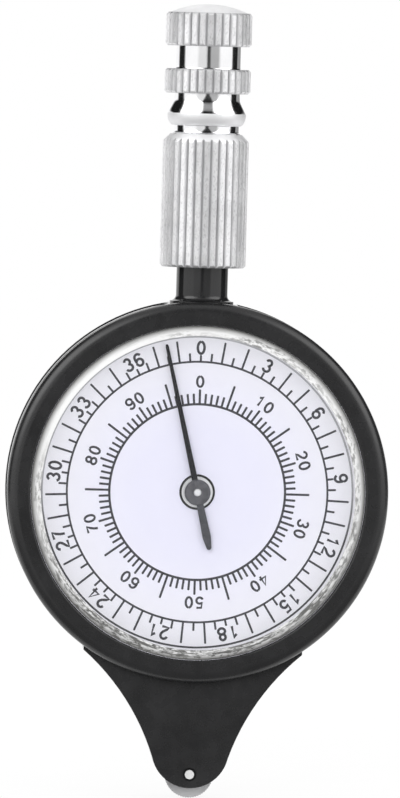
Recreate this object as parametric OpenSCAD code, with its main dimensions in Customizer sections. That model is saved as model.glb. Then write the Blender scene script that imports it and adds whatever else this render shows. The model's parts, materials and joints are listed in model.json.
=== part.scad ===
// Opisometer: a hand-held map measurer with a tracing wheel, a gear train and a dial.
// Millimetres. +Z runs up the handle, the dial faces -Y, +X is to the reader's right.
// The origin is the lowest point of the tracing wheel, in the plane of the wheel.

/* [Case] */
// Diameter of the case and of the ring round the lens
case_d = 50; // [49:0.25:52]
// Depth over everything, from the lens to the back
case_depth = 13; // [12.5:0.25:18]
// Wall of the case round the movement
case_wall = 1.6; // [1.4:0.1:2.2]
// Thickness of the back
back_t = 1.2; // [1:0.1:1.4]
// Rounding of the back edge
back_round = 1.2; // [0.6:0.1:1.6]
// Height of the lip that centres the rear shell in the case
lip_h = 0.55; // [0.4:0.05:0.7]
// Small chamfer on the edges of the seams
seam_chamfer = 0.25; // [0.1:0.05:0.4]

/* [Front ring and lens] */
// Height of the ring above the case
ring_h = 2.8; // [2.4:0.1:3.6]
// Width of the ring's face
ring_face_w = 3.05; // [2.8:0.05:4]
// Rounding of the ring's outer edge
ring_round = 1.5; // [0.8:0.1:2]
// Thickness of the lip that holds the lens
ring_lip_t = 0.9; // [0.7:0.05:1.2]
// Length of the ring's spigot in the case
spigot_l = 1.2; // [1:0.1:1.4]
// Wall of the ring's spigot
spigot_wall = 1; // [0.8:0.05:1.1]
// How far the lens stands out of the ring
lens_rise = 0.4; // [0.2:0.05:0.6]
// Thickness of the lens
lens_t = 1.1; // [0.8:0.1:1.3]
// Width of the bevel round the lens
lens_bevel_w = 1.2; // [0.8:0.1:1.6]
// Width of the skirt with which the lens stands on the dial
lens_skirt_w = 1.95; // [1.6:0.05:2.1]

/* [Dial and pointer] */
// Thickness of the dial
dial_t = 0.5; // [0.4:0.05:0.7]
// Hole of the dial round the centre bush
dial_hole_d = 4.7; // [4.5:0.1:6]
// Space between the pointer's tip and the skirt of the lens
pointer_tip_gap = 1.45; // [1:0.05:4]
// Tail of the pointer from the centre to its end
pointer_tail_l = 7.7; // [5:0.1:9]
// Width of the pointer at the hub
pointer_w = 0.78; // [0.6:0.02:1]
// Width of the pointer at its tip
pointer_tip_w = 0.4; // [0.3:0.02:0.5]
// Greatest width of the tail
tail_w = 1.12; // [0.9:0.02:1.4]
// Width of the tail's round end
tail_end_w = 0.66; // [0.5:0.02:0.8]
// Thickness of the pointer
pointer_t = 0.35; // [0.25:0.05:0.45]
// Where the pointer stands at rest, in degrees clockwise from the top of the dial
pointer_deg = -13.3; // [-180:0.1:180]
// Diameter of the pointer's hub
hub_d = 3.4; // [3:0.1:4.4]
// Thickness of the disc of the hub
hub_t = 0.4; // [0.3:0.05:0.5]

/* [Tracing wheel] */
// Diameter of the wheel: 49 turns of it are 990.6 of the way on the map
wheel_d = 6.435; // [6:0.005:7]
// Width of the wheel
wheel_w = 2; // [1.6:0.1:2]
// Fine teeth round the wheel
wheel_teeth = 60; // [40:1:80]
// Depth of those teeth
wheel_tooth_h = 0.1; // [0.05:0.01:0.14]
// Diameter of the axle
axle_d = 1.2; // [1:0.05:1.3]
// Diameter of the sunk rim round each end of the axle
axle_rim_d = 1.78; // [1.6:0.02:2.2]
// Depth of that rim
axle_rim_h = 0.35; // [0.2:0.05:0.5]

/* [Gears] */
// Module of all the gears, as part of the diameter of the case
module_share = 0.007; // [0.0068:0.0001:0.0072]
// Teeth of each gear wheel
gear_teeth = 56; // [54:1:57]
// Teeth of each pinion
pinion_teeth = 8; // [8:1:9]
// Teeth of the idler next to the tracing wheel
lower_idler_teeth = 19; // [18:1:20]
// Teeth of the idler above it
upper_idler_teeth = 23; // [22:1:24]
// Thickness of the gears
gear_t = 0.8; // [0.6:0.05:0.9]
// Play of a tooth in its gap, along the pitch circle, on each side
tooth_play = 0.1; // [0.08:0.01:0.14]
// Round windows in each gear wheel
gear_windows = 5; // [3:1:6]
// Diameter of the gear arbors
arbor_d = 1.2; // [1:0.05:1.3]
// Diameter of the pivots at the ends of the arbors
pivot_d = 0.8; // [0.6:0.05:0.9]
// Diameter of the pins under the idlers
idler_pin_d = 1; // [0.8:0.05:1.2]

/* [Movement plates] */
// Thickness of both plates
plate_t = 1; // [0.8:0.05:1.1]
// Thickness of the ledge in the case that carries the dial and the front plate
ledge_t = 0.8; // [0.6:0.05:0.9]
// Width of that ledge
ledge_w = 2.4; // [2:0.1:2.8]
// Space between the rear plate and the bosses of the upper screws
rear_plate_gap = 0.45; // [0.3:0.05:0.8]
// Width of plate that is left outside each pillar
pillar_edge_w = 1.2; // [0.9:0.1:1.8]
// Diameter of the pillars between the plates
pillar_d = 2.4; // [2:0.1:3]
// Diameter of the bush in the dial
centre_bush_d = 4.08; // [3.6:0.02:4.4]
// Diameter of the other bushes
bush_d = 2.6; // [2.2:0.1:3]
// Diameter of the small plate screws
plate_screw_d = 1; // [0.8:0.1:1.2]

/* [Snout] */
// Radius of the round tip
snout_tip_r = 5.07; // [4.9:0.01:5.4]
// Height of the middle of the tip above the axle
snout_tip_up = 3.3; // [3.1:0.05:3.4]
// Radius of the hollow flanks
snout_flank_r = 30.86; // [28:0.1:36]
// How steeply a flank runs into the tip, in degrees
snout_flank_deg = 17.5; // [15:0.5:19]
// Width across the corners under the ring
snout_w = 28.7; // [26:0.1:29]
// Wall at the front, back and sides of the snout
snout_wall = 1; // [0.9:0.05:1.1]

/* [Case screws] */
// Diameter of the case screws
case_screw_d = 1.6; // [1.2:0.1:1.8]
// Diameter of their heads
case_head_d = 3; // [2.6:0.1:3.2]
// Height of their heads
case_head_h = 0.8; // [0.6:0.05:0.9]
// Diameter of the bosses that they go into
boss_d = 3.6; // [3.4:0.1:4]
// Angle of the upper screws from the level, in degrees
upper_screw_deg = 50; // [44:1:60]
// Distance of the snout's screws from the middle
snout_screw_x = 7.5; // [7:0.1:8]

/* [Stem and handle] */
// Diameter of the stem
stem_d = 6.8; // [6:0.1:7.4]
// Length of the stem between the case and the handle
stem_gap = 4.45; // [3:0.05:12]
// Depth of the stem in the handle
stem_in_handle = 11.5; // [8:0.5:14]
// Fillet at the foot of the stem
stem_fillet = 0.8; // [0.4:0.1:1]
// Diameter of the knurled parts of the handle
handle_d = 11.3; // [11:0.1:14]
// Flutes round the handle
flutes = 32; // [24:1:40]
// Depth of the flutes
flute_h = 0.34; // [0.2:0.02:0.36]
// Width of a flute, as part of the distance from one to the next
flute_share = 0.5; // [0.3:0.05:0.7]
// Length of the long grip
grip_l = 17.6; // [15:0.1:30]
// Height of the round shoulder on the grip
shoulder_h = 1.1; // [0.6:0.1:1.2]
// Length of the neck above the grip
lower_neck_l = 1.2; // [0.8:0.1:2]
// Length of the bead
bead_l = 3.1; // [2.4:0.1:4]
// Diameter of the bead
bead_d = 10.3; // [9.4:0.1:10.6]
// Length of the neck above the bead
middle_neck_l = 0.9; // [0.6:0.1:2]
// Length of the knurled ring
knurled_ring_l = 3.2; // [2:0.1:5]
// Length of the neck under the cap
upper_neck_l = 3; // [2:0.1:5]
// Diameter of the necks
neck_d = 8.6; // [8.2:0.1:9.2]
// Length of the knurled part of the cap
cap_l = 4.4; // [3:0.1:6]
// Height of the dome on the cap
dome_h = 1.1; // [0.8:0.1:1.6]
// Chamfer on the knurled edges
knurl_chamfer = 0.3; // [0.1:0.05:0.4]

/* [Fits] */
// Radial play of a turning part on its pin or in its bush
run_play = 0.03; // [0.02:0.005:0.05]
// Radial play of parts that are pressed, screwed or glued
seat_play = 0.02; // [0.01:0.005:0.04]
// Play between mouldings
mould_play = 0.05; // [0.03:0.01:0.08]
// End play of the arbors
end_play = 0.1; // [0.08:0.01:0.15]
// Space between a moving part and what it passes
layer_gap = 0.3; // [0.28:0.01:0.32]

/* [Hidden] */
$fn = 96;

// Gear teeth
gear_module = module_share * case_d;
pressure_deg = 25;
addendum = 0.7 * gear_module;
dedendum = 0.9 * gear_module;
function pitch_r(n) = gear_module * n / 2;
function mesh_distance(n, m) = pitch_r(n) + pitch_r(m);
function involute_deg(a) = tan(a) * 180 / PI - a;
// Half the angle that a tooth takes up at radius r
function half_tooth_deg(n, r) =
    let (slope = acos(min(1, pitch_r(n) * cos(pressure_deg) / r)))
    90 / n - tooth_play / 2 / pitch_r(n) * 180 / PI
        + involute_deg(pressure_deg) - involute_deg(slope);
// Angle of the tooth of an upper gear that meshes with the lower gear under it
function mesh_deg(lower_n, lower_deg, upper_n) = 180 + (180 - lower_n * lower_deg) / upper_n;

// Heights of the gear centres, all on the middle line
axle_z = wheel_d / 2;
lower_idler_z = axle_z + mesh_distance(pinion_teeth, lower_idler_teeth);
upper_idler_z = lower_idler_z + mesh_distance(lower_idler_teeth, upper_idler_teeth);
intermediate_z = upper_idler_z + mesh_distance(upper_idler_teeth, gear_teeth);
dial_z = intermediate_z + mesh_distance(pinion_teeth, gear_teeth);

// Turn of each gear in mesh at rest
wheel_pinion_deg = 0;
lower_idler_deg = mesh_deg(pinion_teeth, wheel_pinion_deg, lower_idler_teeth);
upper_idler_deg = mesh_deg(lower_idler_teeth, lower_idler_deg, upper_idler_teeth);
intermediate_deg = mesh_deg(upper_idler_teeth, upper_idler_deg, gear_teeth);
intermediate_pinion_deg = 0;
centre_deg = mesh_deg(pinion_teeth, intermediate_pinion_deg, gear_teeth);

// Layers of gears behind the tracing wheel, then the plates and the case round them
rear_layer_y = wheel_w / 2 + 2 * end_play;
front_layer_y = rear_layer_y - layer_gap - end_play - gear_t;
rear_plate_y = rear_layer_y + gear_t + layer_gap + 2 * end_play;
rear_plate_back_y = rear_plate_y + plate_t;
plate_back_y = front_layer_y - layer_gap;
plate_y = plate_back_y - plate_t;
ledge_y = plate_y - ledge_t;
dial_y = ledge_y - dial_t;
body_y = ledge_y - spigot_l;
ring_y = body_y - ring_h;
lip_y = ring_y + ring_lip_t;
lens_y = ring_y - lens_rise;
back_y = lens_y + case_depth;
back_inside_y = back_y - back_t;
snout_inside_y = body_y + snout_wall;
snout_back_inside_y = rear_layer_y + gear_t + layer_gap;
snout_back_y = snout_back_inside_y + snout_wall;

// Pointer layers, from the bush towards the lens
bush_stands_out = 0.2;
bush_front_y = dial_y - bush_stands_out;
boss_foot_y = bush_front_y - bush_stands_out;
boss_foot_h = 0.4;
pointer_y = boss_foot_y - boss_foot_h - pointer_t;
hub_y = pointer_y - hub_t;
arbor_stands_out = 0.15;
arbor_tip_y = hub_y - arbor_stands_out;

// Radii of the case, the ring and what they hold
case_r = case_d / 2;
inside_r = case_r - case_wall;
spigot_r = case_r - spigot_wall - mould_play;
spigot_inside_r = spigot_r - spigot_wall;
held_r = spigot_inside_r - mould_play;
opening_r = case_r - ring_face_w;
lens_neck_r = opening_r - mould_play;
lens_top_r = lens_neck_r - lens_bevel_w;
skirt_inside_r = held_r - lens_skirt_w;
pointer_l = skirt_inside_r - pointer_tip_gap;
ledge_inside_r = inside_r - ledge_w;
front_plate_r = inside_r - 2 * mould_play;

// Case bosses and screws
boss_r = boss_d / 2;
case_screw_r = case_screw_d / 2;
case_head_r = case_head_d / 2;
head_sink = case_head_h + 0.2;
upper_boss_place_r = inside_r - boss_r + mould_play;
snout_screw_z = dial_z - sqrt(pow(front_plate_r + boss_r + 0.2, 2) - pow(snout_screw_x, 2));
screw_end_gap = 0.6;

// Movement
centre_bush_r = centre_bush_d / 2;
bush_shank_r = bush_d / 2;
arbor_r = arbor_d / 2;
pivot_r = pivot_d / 2;
front_pivot_r = arbor_r - 0.1;
boss_sleeve_r = front_pivot_r + 0.4;
rear_plate_r = upper_boss_place_r - boss_r - rear_plate_gap;
pillar_place_r = rear_plate_r - pillar_d / 2 - pillar_edge_w;
pillar_degs = [90, 210, 330];
plate_screw_degs = [30, 150, 270];
plate_screw_place_r = inside_r - ledge_w / 2;
small_screw_r = plate_screw_d / 2;
small_head_r = small_screw_r + 0.35;
small_head_h = 0.45;
// The lip starts just behind the heads of the plate screws
centring_lip_y = plate_back_y + small_head_h + end_play;
split_y = centring_lip_y + lip_h;

// Stem and handle
stem_r = stem_d / 2;
handle_r = handle_d / 2;
case_top_z = dial_z + case_r;
handle_z = case_top_z + stem_gap;
shoulder_z = handle_z + grip_l;
bead_z = shoulder_z + lower_neck_l;
bead_top_z = bead_z + bead_l;
knurled_ring_z = bead_top_z + middle_neck_l;
knurled_ring_top_z = knurled_ring_z + knurled_ring_l;
cap_z = knurled_ring_top_z + upper_neck_l;
cap_top_z = cap_z + cap_l;
neck_r = neck_d / 2;
bead_r = bead_d / 2;
dome_r = handle_r - 2 * knurl_chamfer;
dome_ball_r = (dome_r * dome_r + dome_h * dome_h) / (2 * dome_h);

// Snout outline
snout_tip_z = axle_z + snout_tip_up;
flank_reach = snout_tip_r + snout_flank_r;
flank_x = flank_reach * cos(snout_flank_deg);
flank_z = snout_tip_z - flank_reach * sin(snout_flank_deg);
tip_blend = 0.02;
cut = 1;

black = [0.16, 0.16, 0.16];
bright = [0.86, 0.86, 0.87];
brass = [0.80, 0.66, 0.36];
steel = [0.62, 0.63, 0.65];

// A flat shape in X and Z, made solid from y0 back to y1
module slab(y0, y1) {
    translate([0, y1, 0]) rotate([90, 0, 0]) linear_extrude(height = y1 - y0) children();
}

// A disc or a hole about an axis that runs front to back
module disc(r, y0, y1, x = 0, z = dial_z) {
    translate([x, y0, z]) rotate([-90, 0, 0]) cylinder(r = r, h = y1 - y0);
}

// A turned shape about an axis that runs front to back, from [radius, y] points
module turned(points, x = 0, z = dial_z) {
    translate([x, 0, z]) rotate([-90, 0, 0]) rotate_extrude() polygon(points);
}

// What stands round the dial's centre, one copy at each angle
module at_angles(degs, place_r) {
    for (a = degs) translate([place_r * cos(a), 0, place_r * sin(a)]) children();
}

// Outline of the snout, drawn in by an inset, between two depths
module snout(inset, y0, y1) {
    tip_r = snout_tip_r - inset;
    tangent_z = snout_tip_z - tip_r * sin(snout_flank_deg);
    half_w = snout_w / 2 - inset;
    union() {
        difference() {
            translate([-half_w, y0, tangent_z])
                cube([2 * half_w, y1 - y0, dial_z - 0.6 * case_r - tangent_z]);
            for (side = [-1, 1])
                disc(snout_flank_r + inset, y0 - cut, y1 + cut, side * flank_x, flank_z);
        }
        disc(tip_r + tip_blend, y0, y1, 0, snout_tip_z);
    }
}

// Outline of one gear: each tooth climbs one flank and comes down the other
module gear_outline(n, turn_deg, flank_steps) {
    root_r = pitch_r(n) - dedendum;
    step_h = (addendum + dedendum) / flank_steps;
    flank = [for (i = [0:flank_steps]) root_r + i * step_h];
    polygon([for (k = [0:n - 1], side = [-1, 1], i = [0:flank_steps])
        let (r = side < 0 ? flank[i] : flank[flank_steps - i])
        let (a = 90 + turn_deg + 360 * k / n + side * half_tooth_deg(n, r))
        [r * cos(a), r * sin(a)]]);
}

module gear(n, turn_deg, y0, y1, z, bore_r, flank_steps = 2) {
    difference() {
        slab(y0, y1) translate([0, z]) gear_outline(n, turn_deg, flank_steps);
        disc(bore_r, y0 - cut, y1 + cut, 0, z);
    }
}

// A gear wheel with a row of round windows
module gear_wheel(turn_deg, y0, z, bore_r) {
    rim_r = pitch_r(gear_teeth) - dedendum;
    window_place_r = 0.58 * rim_r;
    window_r = min(0.22 * rim_r, 0.72 * window_place_r * sin(180 / gear_windows));
    difference() {
        gear(gear_teeth, turn_deg, y0, y0 + gear_t, z, bore_r);
        for (k = [0:gear_windows - 1]) {
            a = 360 * (k + 0.5) / gear_windows;
            disc(window_r, y0 - cut, y0 + gear_t + cut,
                window_place_r * cos(a), z + window_place_r * sin(a));
        }
    }
}

// A screw that is driven in from the back: its head stands on y and its end is at end_y
module screw(r, head_r, head_h, y, end_y) {
    slot_w = 0.24 * head_r;
    difference() {
        union() {
            disc(head_r, y, y + head_h, 0, 0);
            disc(r, end_y, y + cut / 2, 0, 0);
        }
        translate([-head_r - cut, y + head_h / 2, -slot_w]) cube([2 * (head_r + cut), cut, 2 * slot_w]);
    }
}

module at_upper_screws() {
    at_angles([upper_screw_deg, 180 - upper_screw_deg], upper_boss_place_r)
        translate([0, 0, dial_z]) children();
}

module at_snout_screws() {
    for (side = [-1, 1]) translate([side * snout_screw_x, 0, snout_screw_z]) children();
}

// ---- Case

module case_body() {
    color(black) difference() {
        union() {
            case_shell();
            case_stem();
        }
        // bores for the axle and the idler pins
        disc(axle_d / 2 + seat_play, body_y - cut, split_y + cut, 0, axle_z);
        disc(axle_rim_d / 2, body_y - cut, body_y + axle_rim_h, 0, axle_z);
        for (z = [lower_idler_z, upper_idler_z])
            disc(idler_pin_d / 2 + seat_play, body_y + snout_wall / 2, split_y + cut, 0, z);
        at_snout_screws()
            disc(case_screw_r + seat_play, snout_inside_y, split_y + cut, 0, 0);
        at_upper_screws()
            disc(case_screw_r + seat_play, plate_y, split_y + cut, 0, 0);
        at_angles(plate_screw_degs, plate_screw_place_r)
            disc(small_screw_r + seat_play, ledge_y - cut, plate_y + cut, 0, dial_z);
    }
}

// The round wall, the ledge inside it and the front half of the snout
module case_shell() {
    difference() {
        union() {
            difference() {
                union() {
                    turned([[0, body_y], [case_r - seam_chamfer, body_y],
                        [case_r, body_y + seam_chamfer], [case_r, split_y - seam_chamfer],
                        [case_r - seam_chamfer, split_y], [0, split_y]]);
                    snout(0, body_y, split_y);
                }
                disc(inside_r, plate_y, split_y + cut);
                disc(ledge_inside_r, body_y - cut, plate_y + cut);
                snout(snout_wall, plate_y, split_y + cut);
                difference() {
                    snout(snout_wall, snout_inside_y, plate_y + cut / 2);
                    disc(case_r, snout_inside_y - cut, plate_y + cut);
                }
            }
            // bosses: wheel spacer, idler stands, screw bosses
            disc(axle_d / 2 + snout_wall, body_y + cut / 2, -wheel_w / 2 - end_play, 0, axle_z);
            for (z = [lower_idler_z, upper_idler_z])
                disc(idler_pin_d / 2 + 0.5, body_y + cut / 2, rear_layer_y - end_play, 0, z);
            at_snout_screws() disc(boss_r, body_y + cut / 2, split_y, 0, 0);
            at_upper_screws() disc(boss_r, ledge_y + cut / 2, split_y, 0, 0);
        }
        // room for the ring's spigot, and the open slot that the wheel turns in
        disc(spigot_r + mould_play, body_y - cut, ledge_y);
        wheel_slot(split_y + cut);
    }
}

// Space for the tracing wheel and its pinion: open right across the tip, as in a fork
module wheel_slot(y1) {
    slot_r = wheel_d / 2 + layer_gap;
    slot_y0 = -wheel_w / 2 - end_play;
    fork_top_z = axle_z + slot_r / 4;
    disc(slot_r, slot_y0, y1, 0, axle_z);
    translate([-snout_tip_r - cut, slot_y0, -cut])
        cube([2 * (snout_tip_r + cut), y1 - slot_y0, fork_top_z + cut]);
}

// The stem with a fillet at its foot, kept clear of the ring and the rear cover
module case_stem() {
    foot_z = case_top_z - stem_fillet;
    difference() {
        union() {
            translate([0, 0, dial_z + inside_r + case_wall / 2])
                cylinder(r = stem_r, h = handle_z + stem_in_handle - dial_z - inside_r - case_wall / 2);
            translate([0, 0, foot_z]) rotate_extrude() difference() {
                square([stem_r + stem_fillet, 2 * stem_fillet]);
                translate([stem_r + stem_fillet, 2 * stem_fillet]) circle(r = stem_fillet);
            }
        }
        disc(case_r + mould_play, lens_y, body_y);
        disc(case_r + mould_play, split_y, back_y);
        disc(inside_r, body_y, split_y);
    }
}

// The rear shell: back, round wall, rear half of the snout and a lip that centres it
module rear_cover() {
    color(black) difference() {
        union() {
            difference() {
                union() {
                    turned(concat([[0, split_y], [case_r - seam_chamfer, split_y],
                        [case_r, split_y + seam_chamfer]],
                        arc(case_r - back_round, back_y - back_round, back_round, 0, 90),
                        [[0, back_y]]));
                    snout(0, split_y, snout_back_y);
                }
                disc(inside_r, split_y - cut, back_inside_y);
                snout(snout_wall, split_y - cut, snout_back_inside_y);
            }
            centring_lip();
            at_snout_screws() disc(boss_r, split_y, snout_back_inside_y + cut / 2, 0, 0);
            at_upper_screws() disc(boss_r, split_y, back_inside_y + cut / 2, 0, 0);
        }
        wheel_slot(snout_back_inside_y);
        disc(axle_d / 2 + seat_play, split_y, snout_back_y + cut, 0, axle_z);
        disc(axle_rim_d / 2, snout_back_y - axle_rim_h, snout_back_y + cut, 0, axle_z);
        for (z = [lower_idler_z, upper_idler_z])
            disc(idler_pin_d / 2 + seat_play, split_y, snout_back_y - snout_wall / 2, 0, z);
        at_snout_screws() screw_hole(snout_back_y);
        at_upper_screws() screw_hole(back_y);
    }
}

// A hole for a case screw with room for its head under the surface at y
module screw_hole(y) {
    disc(case_screw_r + seat_play, split_y - cut, y + cut, 0, 0);
    disc(case_head_r + mould_play, y - head_sink, y + cut, 0, 0);
}

// The lip that centres the rear shell in the case, cut away at the snout and the bosses
module centring_lip() {
    lip_inside_r = front_plate_r - case_wall / 2;
    difference() {
        union() {
            disc(front_plate_r, centring_lip_y, split_y + cut / 2);
            disc(inside_r + case_wall / 2, split_y, split_y + cut);
        }
        disc(lip_inside_r, centring_lip_y - cut, split_y + 2 * cut);
        snout(0, centring_lip_y - cut, split_y + 2 * cut);
        at_upper_screws() disc(boss_r + mould_play, centring_lip_y - cut, split_y, 0, 0);
    }
}

module upper_cover_screws() {
    color(steel) at_upper_screws()
        screw(case_screw_r, case_head_r, case_head_h, back_y - head_sink, plate_y + screw_end_gap);
}

module snout_cover_screws() {
    color(steel) at_snout_screws()
        screw(case_screw_r, case_head_r, case_head_h, snout_back_y - head_sink,
            snout_inside_y + screw_end_gap);
}

// ---- Ring, lens and dial

module bezel_ring() {
    lip_edge = lens_rise / 2;
    color(black) turned(concat(
        [[opening_r, lip_y], [opening_r, ring_y + lip_edge], [opening_r + lip_edge, ring_y]],
        arc(case_r - ring_round, ring_y + ring_round, ring_round, -90, 0),
        [[case_r, body_y - seam_chamfer], [case_r - seam_chamfer, body_y], [spigot_r, body_y],
        [spigot_r, ledge_y - mould_play], [spigot_inside_r, ledge_y - mould_play],
        [spigot_inside_r, lip_y]]));
}

module lens() {
    inside_y = lens_y + lens_t;
    inner_edge = lens_t / 3;
    color([0.93, 0.95, 0.97, 0.25]) turned([[0, lens_y], [lens_top_r, lens_y],
        [lens_neck_r, ring_y + lens_rise], [lens_neck_r, lip_y], [held_r, lip_y],
        [held_r, dial_y], [skirt_inside_r, dial_y], [skirt_inside_r, inside_y + inner_edge],
        [skirt_inside_r - inner_edge, inside_y], [0, inside_y]]);
}

module dial() {
    color([0.91, 0.91, 0.97]) difference() {
        disc(held_r, dial_y, ledge_y);
        disc(dial_hole_d / 2, dial_y - cut, ledge_y + cut);
    }
}

// ---- Movement plates

module front_plate() {
    color(brass) difference() {
        disc(front_plate_r, plate_y, plate_back_y);
        at_upper_screws() disc(boss_r + 2 * mould_play, plate_y - cut, plate_back_y + cut, 0, 0);
        disc(bush_shank_r + seat_play, plate_y - cut, plate_back_y + cut);
        disc(bush_shank_r + seat_play, plate_y - cut, plate_back_y + cut, 0, intermediate_z);
        at_angles(pillar_degs, pillar_place_r)
            disc(pillar_d / 4 + seat_play, plate_y - cut, plate_back_y + cut);
        at_angles(plate_screw_degs, plate_screw_place_r)
            disc(small_screw_r + seat_play, plate_y - cut, plate_back_y + cut);
    }
}

module rear_plate() {
    window_r = 0.3 * rear_plate_r;
    color(brass) difference() {
        disc(rear_plate_r, rear_plate_y, rear_plate_back_y);
        for (z = [dial_z, intermediate_z])
            disc(bush_shank_r + seat_play, rear_plate_y - cut, rear_plate_back_y + cut, 0, z);
        at_angles(pillar_degs, pillar_place_r)
            disc(small_screw_r + seat_play, rear_plate_y - cut, rear_plate_back_y + cut);
        at_angles([40, 140], rear_plate_r / 2)
            disc(window_r, rear_plate_y - cut, rear_plate_back_y + cut);
    }
}

// Pillars with a foot that is riveted into the front plate and a tapped head
module plate_pillars() {
    color(brass) at_angles(pillar_degs, pillar_place_r) difference() {
        union() {
            disc(pillar_d / 2, plate_back_y, rear_plate_y);
            disc(pillar_d / 4, plate_y, plate_back_y + cut / 2);
        }
        disc(small_screw_r + seat_play, rear_plate_y - 2 * plate_t, rear_plate_y + cut);
    }
}

module pillar_screws() {
    color(steel) at_angles(pillar_degs, pillar_place_r) translate([0, 0, dial_z])
        screw(small_screw_r, small_head_r, small_head_h, rear_plate_back_y,
            rear_plate_y - 1.5 * plate_t);
}

module plate_screws() {
    color(steel) at_angles(plate_screw_degs, plate_screw_place_r) translate([0, 0, dial_z])
        screw(small_screw_r, small_head_r, small_head_h, plate_back_y, ledge_y + mould_play);
}

// ---- Bushes, pins and the axle

module centre_bush() {
    color(bright) difference() {
        union() {
            disc(centre_bush_r, bush_front_y, plate_y);
            disc(bush_shank_r, plate_y - cut / 2, front_layer_y - end_play);
        }
        disc(arbor_r + run_play, bush_front_y - cut, front_layer_y);
    }
}

module front_pivot_bush() {
    color(brass) difference() {
        disc(bush_shank_r, plate_y, front_layer_y - end_play, 0, intermediate_z);
        disc(pivot_r + run_play, plate_y - cut, front_layer_y, 0, intermediate_z);
    }
}

module rear_pivot_bushes() {
    color(brass) for (z = [dial_z, intermediate_z]) difference() {
        disc(bush_shank_r, rear_plate_y - end_play, rear_plate_back_y, 0, z);
        disc(pivot_r + run_play, rear_plate_y - cut, rear_plate_back_y + cut, 0, z);
    }
}

module wheel_axle() {
    color(bright) disc(axle_d / 2, body_y, snout_back_y, 0, axle_z);
}

module idler_pin(z) {
    color(steel) disc(idler_pin_d / 2, body_y + snout_wall / 2 + end_play,
        snout_back_y - snout_wall / 2 - end_play, 0, z);
}

module lower_idler_pin() {
    idler_pin(lower_idler_z);
}

module upper_idler_pin() {
    idler_pin(upper_idler_z);
}

// ---- Pointer and its arbor

module pointer() {
    half_w = pointer_w / 2;
    tail_r = tail_end_w / 2;
    tail_l = pointer_tail_l - tail_r;
    color(black) difference() {
        translate([0, 0, dial_z]) rotate([0, pointer_deg, 0]) slab(pointer_y, pointer_y + pointer_t)
            union() {
                polygon([[-half_w, 0], [half_w, 0], [pointer_tip_w / 2, pointer_l - pointer_tip_w],
                    [0, pointer_l], [-pointer_tip_w / 2, pointer_l - pointer_tip_w]]);
                polygon([[-tail_w / 2, 0], [-tail_w / 2, -tail_l / 2], [-tail_r, -tail_l],
                    [tail_r, -tail_l], [tail_w / 2, -tail_l / 2], [tail_w / 2, 0]]);
                translate([0, -tail_l]) circle(r = tail_r);
                circle(r = 0.94 * hub_d / 2);
            }
        disc(boss_sleeve_r + seat_play, pointer_y - cut, pointer_y + pointer_t + cut);
    }
}

// The hub: a disc in front of the pointer, a sleeve through it and a foot behind it
module pointer_boss() {
    edge = hub_t / 2;
    hub_r = hub_d / 2;
    foot_r = 0.75 * hub_r;
    foot_y = pointer_y + pointer_t;
    color([0.30, 0.30, 0.32]) turned([[front_pivot_r + seat_play, hub_y],
        [hub_r - edge, hub_y], [hub_r, hub_y + edge], [hub_r, pointer_y],
        [boss_sleeve_r, pointer_y], [boss_sleeve_r, foot_y], [foot_r, foot_y],
        [foot_r, boss_foot_y], [front_pivot_r + seat_play, boss_foot_y]]);
}

module centre_arbor() {
    color(bright) turned([[0, arbor_tip_y], [front_pivot_r - 0.1, arbor_tip_y],
        [front_pivot_r, arbor_tip_y + 0.1], [front_pivot_r, boss_foot_y], [arbor_r, boss_foot_y],
        [arbor_r, rear_plate_y - 2 * end_play], [pivot_r, rear_plate_y - 2 * end_play],
        [pivot_r, rear_plate_back_y], [0, rear_plate_back_y]]);
}

module centre_gear() {
    color(brass) gear_wheel(centre_deg, front_layer_y, dial_z, arbor_r + seat_play);
}

// ---- Intermediate arbor

module intermediate_arbor() {
    color(steel) turned([[0, plate_y], [pivot_r, plate_y], [pivot_r, front_layer_y],
        [arbor_r, front_layer_y], [arbor_r, rear_plate_y - 2 * end_play],
        [pivot_r, rear_plate_y - 2 * end_play], [pivot_r, rear_plate_back_y],
        [0, rear_plate_back_y]], 0, intermediate_z);
}

module intermediate_gear() {
    color(brass) gear_wheel(intermediate_deg, rear_layer_y, intermediate_z, arbor_r + seat_play);
}

module intermediate_pinion() {
    color(steel) gear(pinion_teeth, intermediate_pinion_deg, front_layer_y, rear_layer_y,
        intermediate_z, arbor_r + seat_play, 4);
}

// ---- Idlers, tracing wheel and its pinion

module idler_gear(n, turn_deg, z) {
    bore_r = idler_pin_d / 2 + run_play;
    hub_y1 = snout_back_inside_y - end_play;
    color(brass) {
        gear(n, turn_deg, rear_layer_y, rear_layer_y + gear_t, z, bore_r, 3);
        difference() {
            disc(bore_r + 0.6, rear_layer_y + gear_t, hub_y1, 0, z);
            disc(bore_r, rear_layer_y, hub_y1 + cut, 0, z);
        }
    }
}

module lower_idler_gear() {
    idler_gear(lower_idler_teeth, lower_idler_deg, lower_idler_z);
}

module upper_idler_gear() {
    idler_gear(upper_idler_teeth, upper_idler_deg, upper_idler_z);
}

module tracing_wheel() {
    root_r = wheel_d / 2 - wheel_tooth_h;
    bore_r = axle_d / 2 + run_play;
    color([0.74, 0.74, 0.75]) difference() {
        slab(-wheel_w / 2, wheel_w / 2) translate([0, axle_z])
            polygon([for (k = [0:wheel_teeth - 1], half = [0, 1])
                let (r = half == 0 ? wheel_d / 2 : root_r)
                let (a = -90 + 360 * (k + half / 2) / wheel_teeth)
                [r * cos(a), r * sin(a)]]);
        disc(bore_r, -wheel_w, wheel_w, 0, axle_z);
    }
}

module wheel_pinion() {
    color(steel) gear(pinion_teeth, wheel_pinion_deg, wheel_w / 2, rear_layer_y + gear_t + end_play,
        axle_z, axle_d / 2 + run_play, 4);
}

// ---- Handle

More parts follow.
